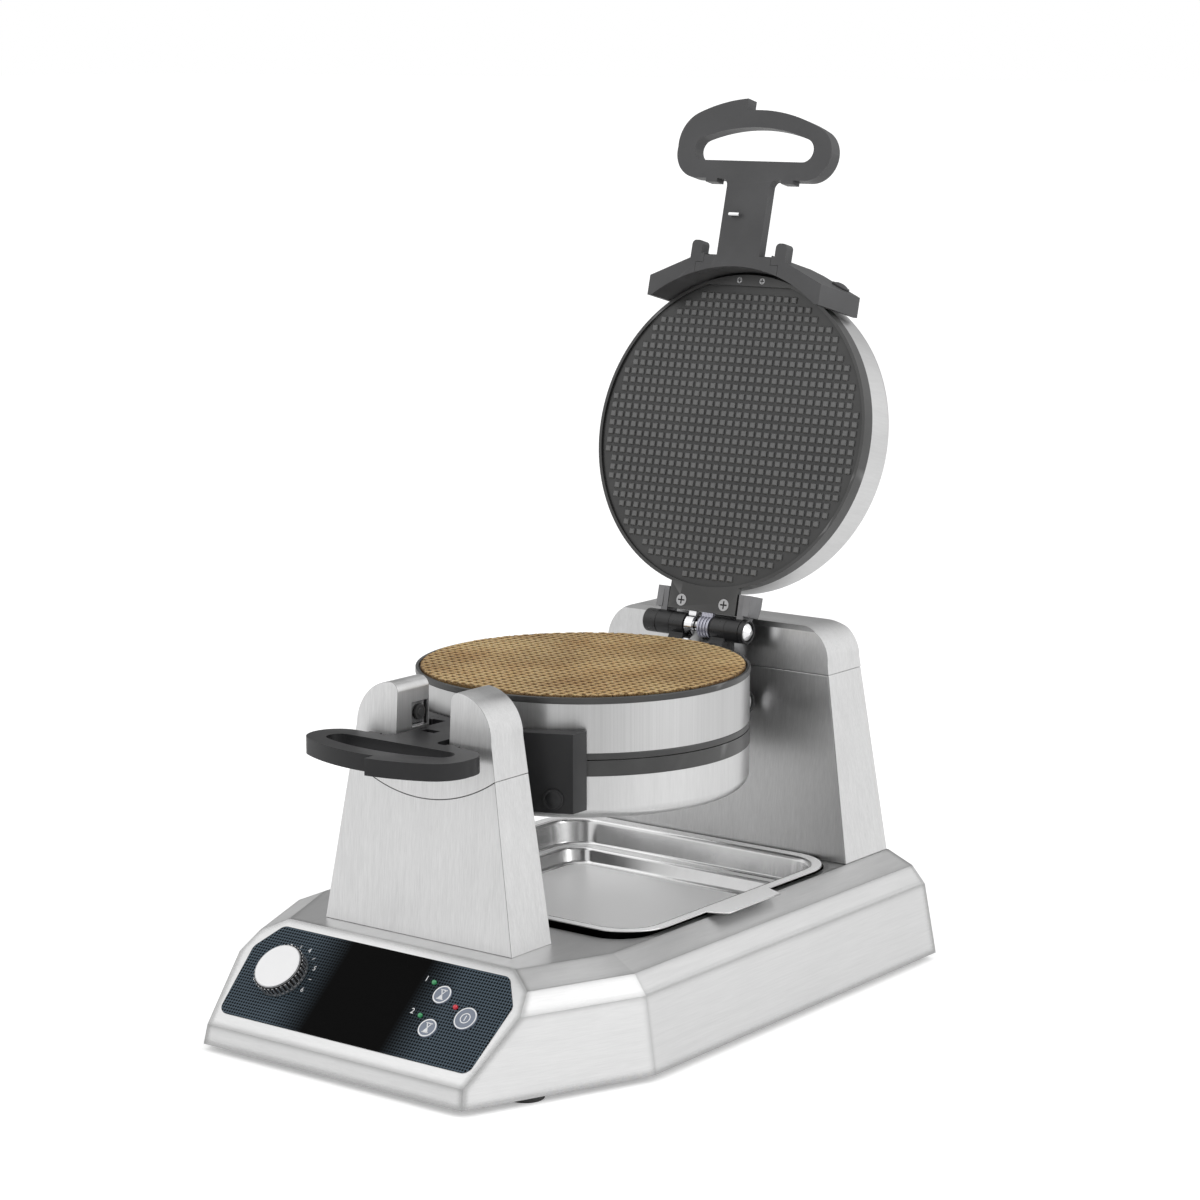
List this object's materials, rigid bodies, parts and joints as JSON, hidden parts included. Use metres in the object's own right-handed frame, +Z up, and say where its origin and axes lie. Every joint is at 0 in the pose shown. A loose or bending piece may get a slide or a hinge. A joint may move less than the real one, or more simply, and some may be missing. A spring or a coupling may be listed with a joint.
{
  "type": "waffle cone maker",
  "caption": "Countertop rotary waffle cone maker: double-sided round iron with hinged lids, towers, drip tray and sloping control panel.",
  "frame": {"origin": "on the table under the centre of the baking plates, in the plane of the rubber feet's undersides", "axes": "+X to the user's right when facing the control panel from the front, +Y to the back, +Z up; the control panel faces -Y"},
  "size_m": [0.298, 0.484, 0.556],
  "materials": {
    "satin_steel": "satin brushed",
    "pan_steel": "mill finish",
    "foot_rubber": "matt",
    "bright_steel": "bright",
    "polished_steel": "polished",
    "fascia_print": "printed satin film",
    "board_green": "solder mask",
    "brass": "turned",
    "ceramic": "matt",
    "relay_blue": "gloss",
    "block_ivory": "matt",
    "led_green": "clear lens",
    "led_red": "clear lens",
    "cast_grey": "cast, painted",
    "cord_black": "matt",
    "knob_white": "spun white face, black skirt",
    "button_blue": "satin",
    "nonstick": "non-stick coating on cast aluminium",
    "element_steel": "heat-tinted",
    "yoke_black": "satin black",
    "handle_charcoal": "fine-textured moulding",
    "conduit_grey": "ribbed",
    "waffle_gold": "baked"
  },
  "bodies": {
    "stand": {"base_housing": "satin_steel", "base_pan": "pan_steel", "rubber_feet": "foot_rubber", "foot_screws": "bright_steel", "drip_well": "pan_steel", "control_fascia": "fascia_print", "control_board": "board_green", "board_standoffs": "brass", "thermostat_body": "ceramic", "timer_relay": "relay_blue", "terminal_block": "block_ivory", "leds_green": "led_green", "led_red": "led_red", "front_tower": "satin_steel", "front_tower_cap": "satin_steel", "roller_brackets": "bright_steel", "stem_rollers": "foot_rubber", "rear_tower": "satin_steel", "rear_tower_cap": "satin_steel", "tower_screws": "bright_steel", "bearing_pedestal": "cast_grey", "bearing_bush": "brass", "cord_gland": "cord_black", "power_cord": "cord_black", "cord_plug": "cord_black"},
    "knob": {"thermostat_knob": "knob_white", "thermostat_shaft": "bright_steel"},
    "power_button": {"power_button": "button_blue"},
    "timer_button_1": {"timer_button_1": "button_blue"},
    "timer_button_2": {"timer_button_2": "button_blue"},
    "tray": {"drip_tray": "polished_steel"},
    "iron": {"core_band": "satin_steel", "core_upper_plate": "nonstick", "core_lower_plate": "nonstick", "core_upper_element": "element_steel", "core_lower_element": "element_steel", "core_insulation": "ceramic", "trunnion": "bright_steel", "hinge_yoke": "yoke_black", "hinge_pins": "bright_steel", "pin_nuts": "yoke_black", "low_lid_shell": "satin_steel", "low_lid_plate": "nonstick", "low_lid_element": "element_steel", "low_lid_hinge": "cast_grey", "low_hinge_screws": "bright_steel", "low_handle_base": "handle_charcoal", "low_handle": "handle_charcoal"},
    "top_lid": {"top_lid_shell": "satin_steel", "top_lid_plate": "nonstick", "top_lid_element": "element_steel", "top_lid_hinge": "cast_grey", "top_hinge_screws": "bright_steel", "top_handle_base": "handle_charcoal", "top_handle": "handle_charcoal", "top_latch_hook": "bright_steel", "lid_strap": "bright_steel", "lid_conduit": "conduit_grey"},
    "waffle": {"waffle": "waffle_gold"}
  },
  "joints": [
    {"name": "lid_hinge", "type": "hinge", "parent": "iron", "child": "top_lid", "pos_m": [0, 0.129, 0.2135], "axis": [1, 0, 0], "range_deg": [0, 104.3]},
    {"name": "iron_turn", "type": "hinge", "parent": "stand", "child": "iron", "pos_m": [0, 0.16, 0.19], "axis": [0, 1, 0], "range_deg": [-14, 14]},
    {"name": "thermostat_turn", "type": "hinge", "parent": "stand", "child": "knob", "pos_m": [-0.066, -0.21082, 0.04886], "axis": [0, 0.6559, -0.7549], "range_deg": [0, 270]},
    {"name": "power_press", "type": "slide", "parent": "stand", "child": "power_button", "axis": [0, 0.6559, -0.7549], "range_m": [0, 0.0008]},
    {"name": "timer_1_press", "type": "slide", "parent": "stand", "child": "timer_button_1", "axis": [0, 0.6559, -0.7549], "range_m": [0, 0.0008]},
    {"name": "timer_2_press", "type": "slide", "parent": "stand", "child": "timer_button_2", "axis": [0, 0.6559, -0.7549], "range_m": [0, 0.0008]},
    {"name": "tray_lift", "type": "slide", "parent": "stand", "child": "tray", "axis": [0, 0, 1], "range_m": [0, 0.025]},
    {"name": "waffle_lift", "type": "slide", "parent": "iron", "child": "waffle", "axis": [0, 0, -1], "range_m": [-0.06, 0]}
  ]
}
